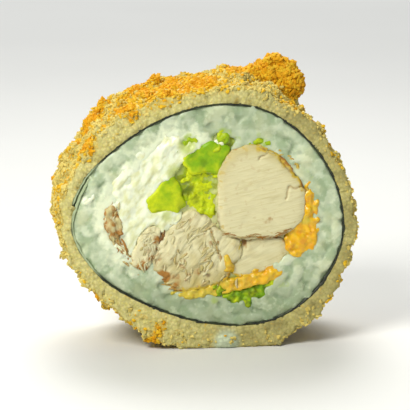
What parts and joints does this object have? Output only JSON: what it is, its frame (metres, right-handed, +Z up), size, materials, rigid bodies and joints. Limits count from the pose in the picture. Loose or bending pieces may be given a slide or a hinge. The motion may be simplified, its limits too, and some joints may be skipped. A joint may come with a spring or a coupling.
{
  "type": "fried sushi roll slice",
  "caption": "Slice of a thick crumb-fried sushi roll: chicken, avocado, cream cheese and cheddar in rice, nori and a craggy fried coating, standing on its edge.",
  "frame": {"origin": "middle of the bounding box's underside, in the flat spot that the slice rests on", "axes": "+Z up, X across the cut face from the narrow end (-X) to the blunt end (+X), the pictured cut face towards -Y"},
  "size_m": [0.0634, 0.0266, 0.058],
  "materials": {
    "coating": "dry, craggy fried breadcrumb, golden on top and paler below",
    "nori": "thin, dark green-black, slightly glossy",
    "rice": "moist, translucent cooked rice, cut flat",
    "cream_cheese": "soft, smooth, bright white",
    "chicken": "pale cooked meat with fine fibres",
    "avocado": "moist, lime to yellow-green",
    "cheddar": "moist, orange-yellow"
  },
  "bodies": {
    "root": {"crumb_coating": "coating", "nori_sheet": "nori", "rice": "rice", "cream_cheese": "cream_cheese", "chicken_strip": "chicken", "chicken_chunk": "chicken", "chicken_small": "chicken", "chicken_shred": "chicken", "chicken_fringe": "chicken", "avocado_top": "avocado", "avocado_left": "avocado", "avocado_middle": "avocado", "avocado_sunk": "avocado", "avocado_tip": "avocado", "avocado_under": "avocado", "cheddar_side": "cheddar", "cheddar_under": "cheddar"}
  },
  "joints": []
}
